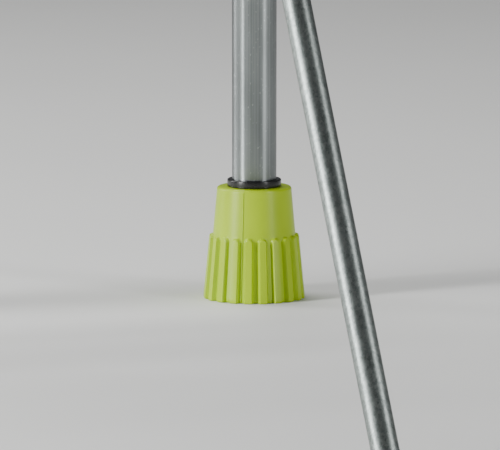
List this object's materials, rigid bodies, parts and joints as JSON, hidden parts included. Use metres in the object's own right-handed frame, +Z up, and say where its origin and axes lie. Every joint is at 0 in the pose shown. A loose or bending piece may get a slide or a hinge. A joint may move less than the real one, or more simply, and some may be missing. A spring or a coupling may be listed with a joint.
{
  "type": "orchard tripod ladder",
  "caption": "Free-standing tripod ladder: splayed tube stiles with ribbed moulded feet, hollow treads, a cast head and a folding telescopic prop.",
  "frame": {"origin": "on the floor, under the middle of the ladder's box", "axes": "+Z up, +Y back towards the prop, +X to the right of someone climbing"},
  "size_m": [0.826, 1.4214, 1.6607],
  "materials": {
    "drawn_aluminium": "drawn tube, satin, with fine lengthwise lines",
    "extruded_aluminium": "mill-finish extrusion",
    "cast_aluminium": "fine sand-cast skin",
    "galvanised_steel": "galvanised tube, dull and mottled",
    "zinc_plated_steel": "bright zinc plate",
    "lime_plastic": "moulded, semi-matt",
    "black_plastic": "moulded, glossy",
    "brass": "turned"
  },
  "bodies": {
    "stile_frame": {"head_casting": "cast_aluminium", "hinge_nut": "zinc_plated_steel", "hinge_pin": "zinc_plated_steel", "left_bracket_1": "cast_aluminium", "left_bracket_2": "cast_aluminium", "left_bracket_3": "cast_aluminium", "left_bracket_4": "cast_aluminium", "left_foot": "lime_plastic", "left_foot_collar": "black_plastic", "left_head_bolt": "zinc_plated_steel", "left_head_nut": "zinc_plated_steel", "left_hinge_washer": "zinc_plated_steel", "left_stile": "drawn_aluminium", "left_stile_cap": "black_plastic", "left_tread_bolt_1": "zinc_plated_steel", "left_tread_bolt_2": "zinc_plated_steel", "left_tread_bolt_3": "zinc_plated_steel", "left_tread_bolt_4": "zinc_plated_steel", "left_tread_screw_1": "zinc_plated_steel", "left_tread_screw_2": "zinc_plated_steel", "left_tread_screw_3": "zinc_plated_steel", "left_tread_screw_4": "zinc_plated_steel", "right_bracket_1": "cast_aluminium", "right_bracket_2": "cast_aluminium", "right_bracket_3": "cast_aluminium", "right_bracket_4": "cast_aluminium", "right_foot": "lime_plastic", "right_foot_collar": "black_plastic", "right_head_bolt": "zinc_plated_steel", "right_head_nut": "zinc_plated_steel", "right_hinge_washer": "zinc_plated_steel", "right_stile": "drawn_aluminium", "right_stile_cap": "black_plastic", "right_tread_bolt_1": "zinc_plated_steel", "right_tread_bolt_2": "zinc_plated_steel", "right_tread_bolt_3": "zinc_plated_steel", "right_tread_bolt_4": "zinc_plated_steel", "right_tread_screw_1": "zinc_plated_steel", "right_tread_screw_2": "zinc_plated_steel", "right_tread_screw_3": "zinc_plated_steel", "right_tread_screw_4": "zinc_plated_steel", "stop_pin": "zinc_plated_steel", "tread_1": "extruded_aluminium", "tread_2": "extruded_aluminium", "tread_3": "extruded_aluminium", "tread_4": "extruded_aluminium"},
    "prop": {"prop_eye": "cast_aluminium", "prop_outer_tube": "galvanised_steel", "eye_bolt": "zinc_plated_steel", "eye_nut": "zinc_plated_steel", "guide_collar": "black_plastic", "collar_screw": "zinc_plated_steel", "clamp_insert": "brass"},
    "clamp": {"clamp_stud": "zinc_plated_steel", "clamp_knob": "black_plastic"},
    "leg": {"prop_inner_tube": "galvanised_steel", "inner_tube_bush": "black_plastic", "prop_foot": "lime_plastic", "prop_foot_collar": "black_plastic"}
  },
  "joints": [
    {"name": "prop_fold", "type": "hinge", "parent": "stile_frame", "child": "prop", "pos_m": [0, -0.26198, 1.6], "axis": [-1, 0, 0], "range_deg": [0, 43]},
    {"name": "leg_extend", "type": "slide", "parent": "prop", "child": "leg", "axis": [0, 0.5174, -0.8557], "range_m": [-0.4, 0.3]},
    {"name": "clamp_turn", "type": "hinge", "parent": "prop", "child": "clamp", "pos_m": [0, 0.41942, 0.47298], "axis": [0, 0.8557, 0.5174], "range_deg": [0, 360]}
  ]
}
